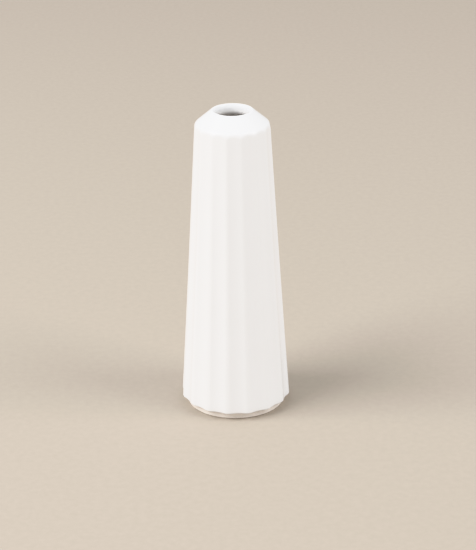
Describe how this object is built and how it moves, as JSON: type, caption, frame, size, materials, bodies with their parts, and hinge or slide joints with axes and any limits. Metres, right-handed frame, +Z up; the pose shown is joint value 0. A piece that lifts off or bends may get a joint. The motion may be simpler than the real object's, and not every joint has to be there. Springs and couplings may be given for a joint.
{
  "type": "fluted bud vase",
  "caption": "Tapered fluted ceramic bud vase with a conical shoulder, a small round mouth with a rounded lip, and a recessed bare clay foot. Stands free and holds flower stems.",
  "frame": {"origin": "centre of the underside of the foot, on the surface that the vase stands on", "axes": "+Z up along the axis of the vase; the middle of a flute faces -Y, towards the viewer"},
  "size_m": [0.0702, 0.0702, 0.2],
  "materials": {
    "clay_body": "fired clay under glaze",
    "bare_clay": "bare fired clay, sponged smooth",
    "satin_glaze": "satin white glaze",
    "liner_glaze": "glossy clear white liner glaze"
  },
  "bodies": {
    "root": {"fluted_wall": "clay_body", "shoulder": "clay_body", "floor_disc": "clay_body", "foot_ring": "bare_clay", "glaze_coat": "satin_glaze", "glaze_liner": "liner_glaze"}
  },
  "joints": []
}
